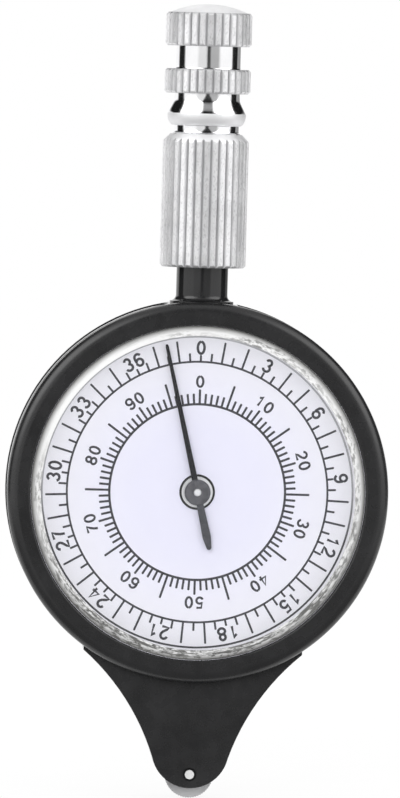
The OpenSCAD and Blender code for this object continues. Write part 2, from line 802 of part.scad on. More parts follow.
// Turned from one straight-knurled bar and bored for the stem
module handle() {
    color(bright) difference() {
        intersection() {
            translate([0, 0, handle_z]) linear_extrude(height = cap_top_z + dome_h - handle_z)
                fluted_circle();
            rotate_extrude() polygon(handle_profile());
        }
        translate([0, 0, handle_z - cut])
            cylinder(r = stem_r + mould_play, h = stem_in_handle + end_play + cut);
    }
}

module fluted_circle() {
    land = 1 - flute_share;
    polygon([for (k = [0:flutes - 1], step = [[-land / 2, 0], [land / 2, 0], [0.5, flute_h]])
        let (a = 360 * (k + step[0]) / flutes)
        let (r = handle_r - step[1])
        [r * cos(a), r * sin(a)]]);
}

// Outline of the handle from its foot to the dome, as [radius, z] points
function handle_profile() = concat(
    [[0, handle_z]], knurled_band(handle_z, shoulder_z - shoulder_h, false),
    arc(handle_r - shoulder_h, shoulder_z - shoulder_h, shoulder_h, 0, 90),
    [[neck_r, shoulder_z], [neck_r, bead_z]],
    bead_profile(),
    [[neck_r, bead_top_z], [neck_r, knurled_ring_z]],
    knurled_band(knurled_ring_z, knurled_ring_top_z, true),
    [[neck_r, knurled_ring_top_z], [neck_r, cap_z]],
    knurled_band(cap_z, cap_top_z, true),
    [for (t = [0:8]) let (a = asin(dome_r / dome_ball_r) * (1 - t / 8))
        [dome_ball_r * sin(a), cap_top_z + dome_h - dome_ball_r * (1 - cos(a))]]);

// The bead: a rounded band under a long cone
function bead_profile() =
    let (band_h = 0.4 * bead_l, swell = bead_r - neck_r)
    concat(
        [for (t = [0:8]) let (a = -90 + 105 * t / 8)
            [neck_r + swell * max(0, cos(a)), bead_z + band_h * (1 + sin(a))]],
        [[neck_r + 0.4 * swell, bead_top_z]]);

// One knurled band with chamfered edges; an open band has no upper edge
function knurled_band(z0, z1, closed) = concat(
    [[handle_r - knurl_chamfer, z0], [handle_r, z0 + knurl_chamfer]],
    closed ? [[handle_r, z1 - knurl_chamfer], [handle_r - knurl_chamfer, z1]] : []);

// Points on an arc, from angle a0 to a1
function arc(x, y, r, a0, a1) =
    [for (t = [0:8]) let (a = a0 + (a1 - a0) * t / 8) [x + r * cos(a), y + r * sin(a)]];

case_body();
bezel_ring();
lens();
dial();
rear_cover();
upper_cover_screws();
snout_cover_screws();
front_plate();
rear_plate();
plate_pillars();
pillar_screws();
plate_screws();
centre_bush();
front_pivot_bush();
rear_pivot_bushes();
wheel_axle();
lower_idler_pin();
upper_idler_pin();
handle();
pointer();
pointer_boss();
centre_arbor();
centre_gear();
intermediate_arbor();
intermediate_gear();
intermediate_pinion();
upper_idler_gear();
lower_idler_gear();
tracing_wheel();
wheel_pinion();
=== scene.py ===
# %% [markdown]
# # A map measurer, dressed in Blender
# The measurer was built in CAD: its solids have the right sizes and they move. Here it gets its
# looks. Some solids only need a finish. Others, such as the knurled handle, are modelled again
# with softer edges, and the dial gets its printed scales.
# The frame is the CAD model. Every new piece is put where the CAD says and rides on a CAD body.

# %% Load the frame
import json
from math import acos, asin, cos, hypot, pi, radians, sin, sqrt

import bpy
from mathutils import Matrix, Vector


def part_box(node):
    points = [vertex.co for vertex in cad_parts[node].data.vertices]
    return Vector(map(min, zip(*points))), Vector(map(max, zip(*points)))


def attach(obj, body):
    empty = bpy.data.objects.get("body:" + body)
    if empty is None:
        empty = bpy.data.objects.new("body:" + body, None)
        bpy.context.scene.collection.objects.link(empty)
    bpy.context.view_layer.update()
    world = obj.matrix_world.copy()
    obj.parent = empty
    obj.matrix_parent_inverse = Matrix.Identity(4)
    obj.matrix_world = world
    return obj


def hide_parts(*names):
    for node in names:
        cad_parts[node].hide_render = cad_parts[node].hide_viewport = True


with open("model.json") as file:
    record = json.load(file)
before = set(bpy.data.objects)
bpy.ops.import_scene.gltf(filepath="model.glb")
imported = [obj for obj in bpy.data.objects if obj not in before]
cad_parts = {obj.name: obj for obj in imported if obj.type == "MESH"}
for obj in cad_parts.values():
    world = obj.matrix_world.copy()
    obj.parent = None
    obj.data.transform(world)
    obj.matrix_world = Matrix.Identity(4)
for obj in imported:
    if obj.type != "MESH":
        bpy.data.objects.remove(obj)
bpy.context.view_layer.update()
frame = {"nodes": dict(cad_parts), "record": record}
nodes = frame["nodes"]

# %% [markdown]
# ## Sizes
# Blender works in metres, and this object is small, so `MM` turns millimetres into metres. The
# main places aren't typed in again: they are read from the boxes of the CAD nodes, so that the
# looks follow the solids if a size changes there.

# %% Sizes from the frame
MM = 0.001


def low(node):
    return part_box(node)[0]


def high(node):
    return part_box(node)[1]


DIAL_Z = (low("bezel_ring").z + high("bezel_ring").z) / 2
RING_R = high("bezel_ring").x
DIAL_FRONT = low("dial").y
DIAL_CENTRE = Vector((0, DIAL_FRONT, DIAL_Z))
FRONT_TO_BACK = Vector((0, 1, 0))
UP = Vector((0, 0, 1))
print("dial centre", round(DIAL_Z / MM, 3), "mm up, ring", round(2 * RING_R / MM, 2), "mm across")

# %% [markdown]
# ## The camera
# The photograph was taken with a long lens, almost straight at the dial: a little from the left
# and from above, with the measurer leaning a little to the right. Some measured points, such as
# the middle of the ring and the end of the axle, gave these numbers by a least-squares fit.

# %% Camera
PICTURE_H = 798
PIXELS_PER_MM = 7.614
CAMERA_LEFT = radians(2.4)
CAMERA_UP = radians(2.0)
CAMERA_LEAN = radians(1.592)
CAMERA_DISTANCE = 1.5
AIM = Vector((0, 0, 52.13 * MM))
AIM_PIXEL = (198.758, 401.287)
MIDDLE_PIXEL = (200, 399)

towards_camera = Vector((
    -sin(CAMERA_LEFT) * cos(CAMERA_UP), -cos(CAMERA_LEFT) * cos(CAMERA_UP), sin(CAMERA_UP)))
level_right = (-towards_camera).cross(UP).normalized()
level_up = towards_camera.cross(level_right)
picture_right = cos(CAMERA_LEAN) * level_right + sin(CAMERA_LEAN) * level_up
picture_up = cos(CAMERA_LEAN) * level_up - sin(CAMERA_LEAN) * level_right
pixel = MM / PIXELS_PER_MM
middle = (AIM + (MIDDLE_PIXEL[0] - AIM_PIXEL[0]) * pixel * picture_right
          - (MIDDLE_PIXEL[1] - AIM_PIXEL[1]) * pixel * picture_up)

bpy.ops.object.camera_add()
camera = bpy.context.object
camera.name = "photo_camera"
turn = Matrix((picture_right, picture_up, towards_camera)).transposed()
camera.matrix_world = Matrix.Translation(middle + CAMERA_DISTANCE * towards_camera) @ turn.to_4x4()
camera.data.sensor_width = 36
camera.data.lens = PIXELS_PER_MM / MM * CAMERA_DISTANCE / PICTURE_H * camera.data.sensor_width
camera.data.clip_end = 20
bpy.context.scene.camera = camera
print("focal length", round(camera.data.lens), "mm")

# %% [markdown]
# ## Small helpers for materials
# Each finish is a node tree on one Principled shader. The patterns read Object coordinates. Every
# piece here sits at the origin with its place in its mesh, so these are the measurer's own metres:
# a noise of scale 1000 has grains of about a millimetre.

# %% Helpers for node trees
def new_finish(name, **values):
    """A new material, its node tree, and its Principled shader with the values set."""
    finish = bpy.data.materials.new(name)
    finish.use_nodes = True
    shader = finish.node_tree.nodes["Principled BSDF"]
    for key, value in values.items():
        shader.inputs[key.replace("_", " ")].default_value = value
    return finish, finish.node_tree, shader


def add_node(tree, kind, settings=None, **values):
    """A node with its settings, and its inputs set from values or linked from sockets."""
    node = tree.nodes.new(kind)
    for key, value in (settings or {}).items():
        setattr(node, key, value)
    for key, value in values.items():
        name = key.replace("_", " ")
        socket = node.inputs[int(name[1:])] if name[1:].isdigit() else node.inputs[name]
        if isinstance(value, bpy.types.NodeSocket):
            tree.links.new(value, socket)
        else:
            socket.default_value = value
    return node


def vectors(tree, operation, output=0, **values):
    """One step of vector maths."""
    return add_node(tree, "ShaderNodeVectorMath", {"operation": operation},
                    **values).outputs[output]


def coordinate(tree, vector, axis):
    """One of the three numbers of a vector."""
    return add_node(tree, "ShaderNodeSeparateXYZ", Vector=vector).outputs[axis]


def place_on_piece(tree, stretch=(1, 1, 1), middle=(0, 0, 0)):
    """Object coordinates, counted from a middle and stretched."""
    coordinates = tree.nodes.new("ShaderNodeTexCoord").outputs["Object"]
    moved = vectors(tree, "SUBTRACT", i0=coordinates, i1=middle)
    return vectors(tree, "MULTIPLY", i0=moved, i1=stretch)


def noise(tree, where, scale, detail=3.0, roughness=0.5):
    """The grey value of a noise."""
    return add_node(tree, "ShaderNodeTexNoise", Vector=where, Scale=scale, Detail=detail,
                    Roughness=roughness).outputs["Fac"]


def spread(tree, value, from_low, from_high, to_low=0.0, to_high=1.0):
    """A value that runs from one range to another."""
    return add_node(tree, "ShaderNodeMapRange", Value=value, From_Min=from_low, From_Max=from_high,
                    To_Min=to_low, To_Max=to_high).outputs[0]


def grey(value):
    return (value, value, value)


def mix_colours(tree, share, dark, light):
    """Between two colours, as far as the share says."""
    mixer = add_node(tree, "ShaderNodeMix", {"data_type": "RGBA"})
    for index, value in ((0, share), (6, dark), (7, light)):
        if isinstance(value, bpy.types.NodeSocket):
            tree.links.new(value, mixer.inputs[index])
        else:
            mixer.inputs[index].default_value = (*value, 1) if index else value
    return mixer.outputs[2]


def reckon(tree, operation, first, second=0.0):
    """One sum with two numbers."""
    return add_node(tree, "ShaderNodeMath", {"operation": operation},
                    i0=first, i1=second).outputs[0]


def product(tree, first, second):
    return reckon(tree, "MULTIPLY", first, second)


def set_looks(tree, shader, colour, roughness):
    """Feeds a colour and a roughness into the shader."""
    tree.links.new(colour, shader.inputs["Base Color"])
    tree.links.new(roughness, shader.inputs["Roughness"])


def mix_on_surface(tree, share, shader, other):
    """Shows the other shader instead of the first, as far as the share says."""
    mixed = add_node(tree, "ShaderNodeMixShader",
                     i0=share, i1=shader.outputs[0], i2=other.outputs[0])
    tree.links.new(mixed.outputs[0], tree.nodes["Material Output"].inputs["Surface"])


def add_relief(tree, shader, height, depth):
    """Lets a grey value raise the surface by up to the depth, in metres."""
    bump = add_node(tree, "ShaderNodeBump", Height=height, Distance=depth, Strength=1.0)
    tree.links.new(bump.outputs[0], shader.inputs["Normal"])


def distance_from_axis(tree, middle, axis):
    """How far a point is from an axis through the middle, for turned pieces."""
    flat = place_on_piece(tree, [0 if name == axis else 1 for name in "XYZ"], middle)
    return vectors(tree, "LENGTH", "Value", i0=flat)

# %% [markdown]
# ## Black plastic
# The ring, the case and the snout are moulded in black plastic. It isn't quite black and not quite
# even: the mould leaves a fine grain, and handling leaves patches that shine a little more. So the
# colour is a very dark grey that wanders a little, the roughness wanders too, and a fine noise
# raises the surface by a few thousandths of a millimetre. Two places are smoother: the stem,
# which fingers polish, and the round side behind the ring, which mirrors sharply in the
# photograph.

# %% Black moulded plastic
STEM_FOOT, STEM_POLISHED = 25.5 * MM, 27 * MM
RING_BACK = -3.3 * MM
ROUND_SIDE_R = RING_R - 0.5 * MM
SHORT_STEP = 0.1 * MM


def black_moulding():
    finish, tree, shader = new_finish("black_moulding", IOR=1.5)
    where = place_on_piece(tree)
    patches = noise(tree, where, 160, 4)
    grain = noise(tree, where, 5200, 2)
    colour = mix_colours(tree, spread(tree, patches, 0.35, 0.65),
                         (0.0115, 0.0115, 0.0120), (0.0165, 0.0165, 0.0172))
    worn = spread(tree, coordinate(tree, where, "Z"),
                  DIAL_Z + STEM_FOOT, DIAL_Z + STEM_POLISHED, 1, 0.45)
    behind_ring = spread(tree, coordinate(tree, where, "Y"), RING_BACK, RING_BACK + SHORT_STEP)
    on_side = spread(tree, distance_from_axis(tree, DIAL_CENTRE, "Y"),
                     ROUND_SIDE_R, ROUND_SIDE_R + SHORT_STEP)
    polished = product(tree, behind_ring, on_side)
    worn = product(tree, worn, spread(tree, polished, 0, 1, 1, 0.08))
    rough = product(tree, worn, spread(tree, noise(tree, where, 700, 4), 0.3, 0.7, 0.22, 0.32))
    set_looks(tree, shader, colour, rough)
    add_relief(tree, shader, grain, 0.0035 * MM)
    return finish


BLACK = black_moulding()
print("made", BLACK.name)

# %% [markdown]
# ## Clear plastic
# The lens is a clear moulding with a polished front. Glass is a Principled shader with full
# transmission. Such a shader throws noisy light patches on what is under it, so a Mix Shader makes
# it plain transparent for shadow rays, and the light of the lamps falls through evenly. The
# silvery rim below shares this. Handling leaves faint smears on the clear front, which a very
# low, uneven roughness gives.

# %% Clear plastic of the lens
LENS_IOR = 1.49


def let_light_through(tree, shader):
    """Makes the surface plain transparent for light on its way from a lamp."""
    shadows = tree.nodes.new("ShaderNodeLightPath").outputs["Is Shadow Ray"]
    through = add_node(tree, "ShaderNodeBsdfTransparent", Color=(0.96, 0.96, 0.97, 1))
    mix_on_surface(tree, shadows, shader, through)


def clear_moulding():
    finish, tree, shader = new_finish("clear_moulding", Base_Color=(0.985, 0.99, 1.0, 1),
                                      Transmission_Weight=1, IOR=LENS_IOR)
    smears = noise(tree, place_on_piece(tree, (1, 1, 0.4)), 240, 4, 0.6)
    tree.links.new(spread(tree, smears, 0.35, 0.75, 0.0, 0.035), shader.inputs["Roughness"])
    let_light_through(tree, shader)
    return finish


CLEAR = clear_moulding()
print("made", CLEAR.name)

# %% [markdown]
# ## The silvery rim of the lens
# Round the flat front runs a bevel. It works like a prism and looks like streaky silver, which is
# partly the bevel's own turned grain and partly a painted reflection. It is kept smooth and light
# at the upper left, where the light falls, as a painted highlight; it is spotted in worn places,
# mottled with grey below as painted shade, and dark where it meets the ring as painted shade. The
# streaks run round the rim, so their noise reads polar coordinates: the cosine and sine of the
# angle, and the distance from the middle. Small factors on the angle draw a grain out along the
# rim. As a metal the rim would glare, so it isn't metallic, and its gloss is held down.

# %% Silvery rim
LENS_FLAT_R = RING_R - 4.3 * MM
UPPER_LEFT = (-0.72, 0, 0.69)


def silvery_rim():
    finish, tree, shader = new_finish("silvery_rim", IOR=LENS_IOR, Specular_IOR_Level=0.3)
    radius = distance_from_axis(tree, DIAL_CENTRE, "Y")
    angle = vectors(tree, "NORMALIZE", i0=place_on_piece(tree, (1, 0, 1), DIAL_CENTRE))

    def polar(round_it, across):
        turned = vectors(tree, "SCALE", i0=angle, Scale=round_it)
        depth = product(tree, radius, across / MM)
        inward = add_node(tree, "ShaderNodeCombineXYZ", Y=depth).outputs[0]
        return vectors(tree, "ADD", i0=turned, i1=inward)

    arcs = noise(tree, polar(8, 3.2), 1, 3, 0.6)
    mottle = noise(tree, polar(20, 2.6), 1, 4, 0.7)
    places = noise(tree, polar(2.2, 0.3), 1, 2, 0.5)
    # painted shade: the lower half of the rim gets more grey mottle and dark streaks
    below = spread(tree, coordinate(tree, angle, "Z"), 0.1, -0.6)
    # painted highlight: the upper left, where the light falls, is kept free of the worn spots
    towards_lit_upper_left = vectors(tree, "DOT_PRODUCT", "Value", i0=angle, i1=UPPER_LEFT)
    worn = product(tree, spread(tree, towards_lit_upper_left, 0.72, 0.92, 0.8, 0),
                   spread(tree, places, 0.40, 0.56, 0.15, 1))
    # painted shade: the outer part of the bevel goes grey, and then dark, next to the ring
    outer = spread(tree, radius, LENS_FLAT_R + 0.35 * MM, LENS_FLAT_R + 1.2 * MM)
    shade = product(tree, outer, spread(tree, arcs, 0.38, 0.58, 0.2, 0.95))
    spots = product(tree, spread(tree, mottle, 0.44, 0.58, 0, 0.9),
                    reckon(tree, "MAXIMUM", below, worn))
    streaks = product(tree, spread(tree, arcs, 0.50, 0.58, 0, 0.85), below)
    painted_shade_at_ring = spread(tree, radius, LENS_FLAT_R + 0.45 * MM, LENS_FLAT_R + 1.15 * MM, 0, 0.9)
    for darker in (spots, streaks, painted_shade_at_ring):
        shade = reckon(tree, "MAXIMUM", shade, darker)
    silver = mix_colours(tree, shade, grey(0.68), (0.05, 0.05, 0.045))
    set_looks(tree, shader, silver, spread(tree, mottle, 0.3, 0.7, 0.18, 0.42))
    add_relief(tree, shader, reckon(tree, "ADD", arcs, mottle), 0.015 * MM)
    let_light_through(tree, shader)
    return finish


SILVERY_RIM = silvery_rim()
print("made", SILVERY_RIM.name)

# %% [markdown]
# The edge of the lens's flat front shows as a thin line on the dial: dark below, and only a pale
# grey above. A fine ring laid on the dial paints it as shade, and this is its finish.

# %% Painted shade line inside the rim
def edge_line():
    finish, tree, shader = new_finish("edge_line")
    height = coordinate(tree, place_on_piece(tree, middle=DIAL_CENTRE), "Z")
    # painted shade: dark on the lower side of the line, pale grey on the upper side
    below = spread(tree, height, 2 * MM, -6 * MM)
    grain = noise(tree, place_on_piece(tree), 500, 3)
    upper = mix_colours(tree, grain, (0.30, 0.30, 0.31), (0.55, 0.55, 0.57))
    colour = mix_colours(tree, below, upper, (0.035, 0.035, 0.04))
    set_looks(tree, shader, colour, spread(tree, grain, 0.3, 0.7, 0.25, 0.4))
    return finish


LENS_EDGE_SHADE = edge_line()
print("made", LENS_EDGE_SHADE.name)

# %% [markdown]
# ## Dial and print
# The dial is a disc with a pale coat that leans to lavender and is painted a touch whiter towards
# the rim, as painted light against the ring's shade there. The ink on it is a slate grey. Ink
# isn't
# one flat tone: it is thinner in places, so its colour wanders on the scale of a stroke's width.

# %% Dial coat and ink
def dial_coat():
    finish, tree, shader = new_finish("dial_coat")
    radius = distance_from_axis(tree, DIAL_CENTRE, "Y")
    # painted light: the coat is lighter towards the rim, to lift the ring's shade
    rim = spread(tree, radius, 8 * MM, 21 * MM)
    colour = mix_colours(tree, rim, (0.87, 0.86, 0.98), (0.96, 0.95, 0.98))
    grain = noise(tree, place_on_piece(tree), 900, 5, 0.6)
    shade = mix_colours(tree, spread(tree, grain, 0.3, 0.7, 0, 0.05), (1, 1, 1), (0.6, 0.6, 0.72))
    toned = add_node(tree, "ShaderNodeMix", {"data_type": "RGBA", "blend_type": "MULTIPLY"},
                     i0=1, i6=colour, i7=shade)
    set_looks(tree, shader, toned.outputs[2], spread(tree, grain, 0.3, 0.7, 0.55, 0.7))
    add_relief(tree, shader, grain, 0.002 * MM)
    return finish


def scale_ink():
    finish, tree, shader = new_finish("scale_ink")
    blots = noise(tree, place_on_piece(tree), 2600, 3)
    colour = mix_colours(tree, spread(tree, blots, 0.35, 0.65),
                         (0.018, 0.018, 0.022), (0.045, 0.045, 0.055))
    set_looks(tree, shader, colour, spread(tree, blots, 0.35, 0.65, 0.5, 0.65))
    return finish


DIAL_COAT = dial_coat()
INK = scale_ink()
print("made", DIAL_COAT.name, "and", INK.name)

# %% [markdown]
# ## Metals
# The handle is bright plated metal. Its flutes were rolled into the bar, which leaves them satin
# and sparkling, with a grain along the bar and specks, and painted shade darkens their feet. The
# necks between them were polished in a lathe. Brass plates, gears, pins and screws lie inside.
# They aren't seen in the photograph but are seen when the measurer is taken apart, so they get a
# finish too: turned ones have rings round their axis and flat ones a brushed grain. A Metallic
# value below 1 lets some plain grey through, as worn metal does.

# %% Metals
def brushed_metal(name, dark, light, rough_low, rough_high, stretch, scale, depth, metallic=1.0):
    """Metal with a grain that is drawn out along the axes with a small stretch."""
    finish, tree, shader = new_finish(name, Metallic=metallic)
    grain = noise(tree, place_on_piece(tree, stretch), scale, 4, 0.6)
    stains = noise(tree, place_on_piece(tree), 300, 3)
    colour = mix_colours(tree, spread(tree, stains, 0.3, 0.7), dark, light)
    set_looks(tree, shader, colour, spread(tree, grain, 0.3, 0.7, rough_low, rough_high))
    add_relief(tree, shader, grain, depth)
    return finish


def shade_over(finish, share_of, shade):
    """Darkens a finish towards a shade, by a share that is reckoned in its own tree."""
    tree = finish.node_tree
    base = tree.nodes["Principled BSDF"].inputs["Base Color"]
    clean = base.links[0].from_socket
    tree.links.new(mix_colours(tree, share_of(tree), clean, shade), base)


def grime_on_flutes(tree):
    """1 at the feet of the flutes, as painted shade, with specks all over."""
    flutes_r = high("handle").x
    # painted shade in the hollows at the feet of the flutes
    painted_groove_shade = spread(tree, distance_from_axis(tree, (0, 0, 0), "Z"),
                   flutes_r - 0.36 * MM, flutes_r - 0.06 * MM, 1, 0)
    specks = spread(tree, noise(tree, place_on_piece(tree, (1, 1, 0.5)), 5200, 2),
                    0.50, 0.70, 0, 0.30)
    return reckon(tree, "MAXIMUM", specks, product(tree, painted_groove_shade, 0.65))


PLATED = brushed_metal("bright_plating", (0.88, 0.88, 0.89), (0.96, 0.96, 0.97),
                       0.06, 0.15, (1, 1, 0.06), 4200, 0.003 * MM)
KNURLED = brushed_metal("knurled_plating", (0.80, 0.80, 0.81), (0.94, 0.94, 0.95),
                        0.32, 0.55, (1, 1, 0.35), 3400, 0.035 * MM, metallic=0.8)
# darkens the knurl with painted shade at the feet of the flutes, and with specks
shade_over(KNURLED, grime_on_flutes, (0.30, 0.30, 0.31))
SATIN = brushed_metal("satin_plating", (0.80, 0.80, 0.81), (0.92, 0.92, 0.93),
                      0.45, 0.60, (1, 1, 0.5), 3800, 0.010 * MM, metallic=0.7)
AXLE_METAL = brushed_metal("polished_axle", grey(0.80), grey(0.93),
                           0.30, 0.45, (1, 1, 1), 3000, 0.004 * MM, metallic=0.6)
WHEEL_METAL = brushed_metal("wheel_steel", (0.52, 0.52, 0.53), (0.66, 0.66, 0.67),
                            0.28, 0.42, (1, 0.2, 1), 2500, 0.006 * MM, metallic=0.8)
STEEL = brushed_metal("screw_steel", (0.42, 0.42, 0.44), (0.56, 0.56, 0.58),
                      0.24, 0.38, (1, 0.15, 1), 3600, 0.004 * MM)
BRASS = brushed_metal("rolled_brass", (0.62, 0.43, 0.16), (0.74, 0.54, 0.24),
                      0.26, 0.42, (0.05, 1, 1), 3400, 0.005 * MM)
print("made 7 metals")

# %% [markdown]
# The front plate shows through the narrow gap round the pointer's bush. In the photograph that gap
# is dark with shadow, so the plate's brass is painted dark round its pivot hole: a painted shadow.

# %% Brass plate with a painted shadow in the middle
def near_the_bush(tree):
    """1 round the middle of the plate, where the gap's shadow is painted, and 0 where the dial
    covers it.
    """
    return spread(tree, distance_from_axis(tree, DIAL_CENTRE, "Y"), 2.9 * MM, 3.4 * MM, 1, 0)


BRASS_WITH_PAINTED_SHADOW = BRASS.copy()
BRASS_WITH_PAINTED_SHADOW.name = "brass_with_painted_shadow"
# paints the gap's shadow on the brass round the pivot hole
shade_over(BRASS_WITH_PAINTED_SHADOW, near_the_bush, grey(0.02))
print("made", BRASS_WITH_PAINTED_SHADOW.name)

# %% [markdown]
# ## Paint of the pointer
# The needle is stamped from sheet and blackened. Its tail and its hub are a dull slate grey. All
# have a faint grain and a low sheen, so that they stand out from the print behind them. The
# needle would mirror a white room and look grey, so an IOR close to 1 takes its gloss away.

# %% Needle black, tail slate and hub grey
def blackened(name, dark, light, rough, ior=1.36):
    finish, tree, shader = new_finish(name, IOR=ior)
    grain = noise(tree, place_on_piece(tree), 2200, 4, 0.6)
    colour = mix_colours(tree, spread(tree, grain, 0.35, 0.65), dark, light)
    set_looks(tree, shader, colour, spread(tree, grain, 0.3, 0.7, rough, rough + 0.15))
    add_relief(tree, shader, grain, 0.004 * MM)
    return finish


NEEDLE_BLACK = blackened("needle_black", (0.003, 0.003, 0.004), (0.010, 0.010, 0.013), 0.30,
                         ior=1.08)
TAIL_SLATE = blackened("tail_slate", (0.035, 0.036, 0.042), (0.075, 0.077, 0.088), 0.38)
HUB_GREY = blackened("hub_grey", (0.045, 0.045, 0.050), (0.120, 0.120, 0.130), 0.40)
print("made", NEEDLE_BLACK.name + ",", TAIL_SLATE.name, "and", HUB_GREY.name)

# %% [markdown]
# ## Give each CAD node its finish
# The record of the part names a material slot for each node. A table from slot to finish dresses
# all of them in one loop.

# %% Dress the CAD nodes
FINISHES = {
    "black_plastic": BLACK, "clear_plastic": CLEAR, "dial_face": DIAL_COAT,
    "bright_metal": PLATED, "wheel_metal": WHEEL_METAL, "steel": STEEL, "brass": BRASS,
    "pointer_black": NEEDLE_BLACK, "hub_grey": HUB_GREY,
}
slot_of = {part["node"]: part["material_slot"] for part in frame["record"]["subparts"]}
finish_of = {"wheel_axle": AXLE_METAL, "centre_arbor": AXLE_METAL, "centre_bush": AXLE_METAL,
             "front_plate": BRASS_WITH_PAINTED_SHADOW}
for name, node in nodes.items():
    node.data.materials.clear()
    node.data.materials.append(finish_of.get(name, FINISHES[slot_of[name]]))
print("dressed", len(nodes), "nodes")

# %% [markdown]
# ## Helpers for modelling
# Most new pieces are turned: an outline is drawn by extruding one vertex from point to point, and
# the spin operator sweeps it round an axis. Everything is deselected first, because an operator
# acts on all that is selected.

# %% Helpers for modelling
def mode(name):
    bpy.ops.object.mode_set(mode=name)


def select_mesh(action):
    bpy.ops.mesh.select_all(action=action)


def start_fresh():
    bpy.ops.object.select_all(action="DESELECT")


def only(piece):
    """Selects one piece and makes it the active one."""
    start_fresh()
    piece.select_set(True)
    bpy.context.view_layer.objects.active = piece


def own_copy(source):
    """A copy that has a mesh of its own."""
    copy = source.copy()
    copy.data = source.data.copy()
    bpy.context.scene.collection.objects.link(copy)
    return copy


def draw_line(points):
    """A line of edges from point to point, left in edit mode."""
    start_fresh()
    bpy.ops.mesh.primitive_plane_add(size=MM)
    mode("EDIT")
    bpy.ops.mesh.select_mode(type="VERT")
    select_mesh("SELECT")
    bpy.ops.mesh.merge(type="CENTER")
    bpy.ops.transform.translate(value=points[0])
    for before, after in zip(points, points[1:]):
        bpy.ops.mesh.extrude_vertices_move(TRANSFORM_OT_translate={"value": after - before})
    return bpy.context.object


def draw_outline(name, points):
    """A closed line through the points, left in edit mode."""
    piece = draw_line([*points, points[0]])
    piece.name = piece.data.name = name
    select_mesh("SELECT")
    bpy.ops.mesh.remove_doubles(threshold=0.001 * MM)
    return piece


def turned_piece(name, points, centre, axis, steps):
    """A solid of revolution from a closed outline."""
    piece = draw_outline(name, points)
    select_mesh("SELECT")
    bpy.ops.mesh.spin(steps=steps, angle=2 * pi, center=centre, axis=axis)
    select_mesh("SELECT")
    bpy.ops.mesh.remove_doubles(threshold=0.001 * MM)
    bpy.ops.mesh.normals_make_consistent(inside=False)
    mode("OBJECT")
    return piece


def apply_all(piece):
    """Applies every modifier of the piece, from first to last."""
    only(piece)
    for modifier in list(piece.modifiers):
        bpy.ops.object.modifier_apply(modifier=modifier.name)


def combine(piece, operation, tool):
    """Applies a Boolean with another piece, which then goes away."""
    boolean = piece.modifiers.new("combine", "BOOLEAN")
    boolean.operation = operation
    boolean.object = tool
    boolean.solver = "EXACT"
    apply_all(piece)
    bpy.data.objects.remove(tool)


def soften(piece, width=0.0, least=radians(30)):
    """Rounds the sharp edges a little and shades the rest as one smooth surface."""
    only(piece)
    bpy.ops.object.shade_smooth_by_angle(angle=least)
    if width:
        rounding = piece.modifiers.new("edge_rounding", "BEVEL")
        rounding.width = width
        rounding.segments = 2
        rounding.limit_method = "ANGLE"
        rounding.angle_limit = least
        rounding.miter_outer = "MITER_ARC"
    weights = piece.modifiers.new("flat_faces_first", "WEIGHTED_NORMAL")
    weights.keep_sharp = True
    apply_all(piece)


def arc(middle, radius, start, end, steps):
    """Points on an arc, as (across, along) pairs. Angles are in degrees."""
    return [(middle[0] + radius * cos(radians(start + (end - start) * i / steps)),
             middle[1] + radius * sin(radians(start + (end - start) * i / steps)))
            for i in range(steps + 1)]


def settle(piece, finish, body, slot, *stands_for):
    """Gives a finished piece its material, its body and what it stands for."""
    piece.data.materials.clear()
    piece.data.materials.append(finish)
    if stands_for:
        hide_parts(*stands_for)
    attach(piece, body)
    print(f"{piece.name}: {len(piece.data.polygons)} faces, on {body}")


def turned_round_dial(name, points, steps):
    """A solid of revolution on the dial's axis, from (radius, depth) pairs in millimetres."""
    return turned_piece(name, [Vector((r * MM, y * MM, DIAL_Z)) for r, y in points],
                        DIAL_CENTRE, FRONT_TO_BACK, steps)

# %% [markdown]
# ## The front ring
# The ring is a turned moulding with a flat face and a round outer edge. The solid has the same
# outline with a few flat steps in that round. On a dark, half-glossy plastic those steps would
# show as bands in the highlight, so the ring is turned again with a fine arc, and its sharp edges
# are softened as a mould would leave them.

# %% Front ring
RING_STEPS = 192
LIP_T = 0.9


def front_ring():
    lowest, highest = (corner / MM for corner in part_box("bezel_ring"))
    case_r, face_y, back_y = highest.x, lowest.y, highest.y
    lip_edge, round_r, side_l = 0.2, 1.5, 2.8
    seam, spigot_out, spigot_in, opening = 0.25, 1.05, 2.05, 3.05
    outline = [(case_r - opening, face_y + LIP_T), (case_r - opening, face_y + lip_edge),
               (case_r - opening + lip_edge, face_y)]
    outline += arc((case_r - round_r, face_y + round_r), round_r, -90, 0, 16)
    outline += [(case_r, face_y + side_l - seam), (case_r - seam, face_y + side_l),
                (case_r - spigot_out, face_y + side_l), (case_r - spigot_out, back_y),
                (case_r - spigot_in, back_y), (case_r - spigot_in, face_y + LIP_T)]
    ring = turned_round_dial("front_ring", outline, RING_STEPS)
    soften(ring, 0.06 * MM)
    settle(ring, BLACK, "case", "black_plastic", "bezel_ring")


front_ring()

# %% [markdown]
# ## The lens
# The lens is turned from the same outline as the solid: a flat front, a bevel, and a skirt that
# holds it in the ring. It is made again so that its parts can differ. The flat front and the
# skirt stay clear, and the bevel and a narrow edge inside it get the silvery finish. Faces are
# chosen in code by how far their middle is from the axis, and by the side they face.

# %% Lens
BEVEL_DEPTH, BEVEL_STEPS = 0.8, 4
INNER_EDGE = 0.12


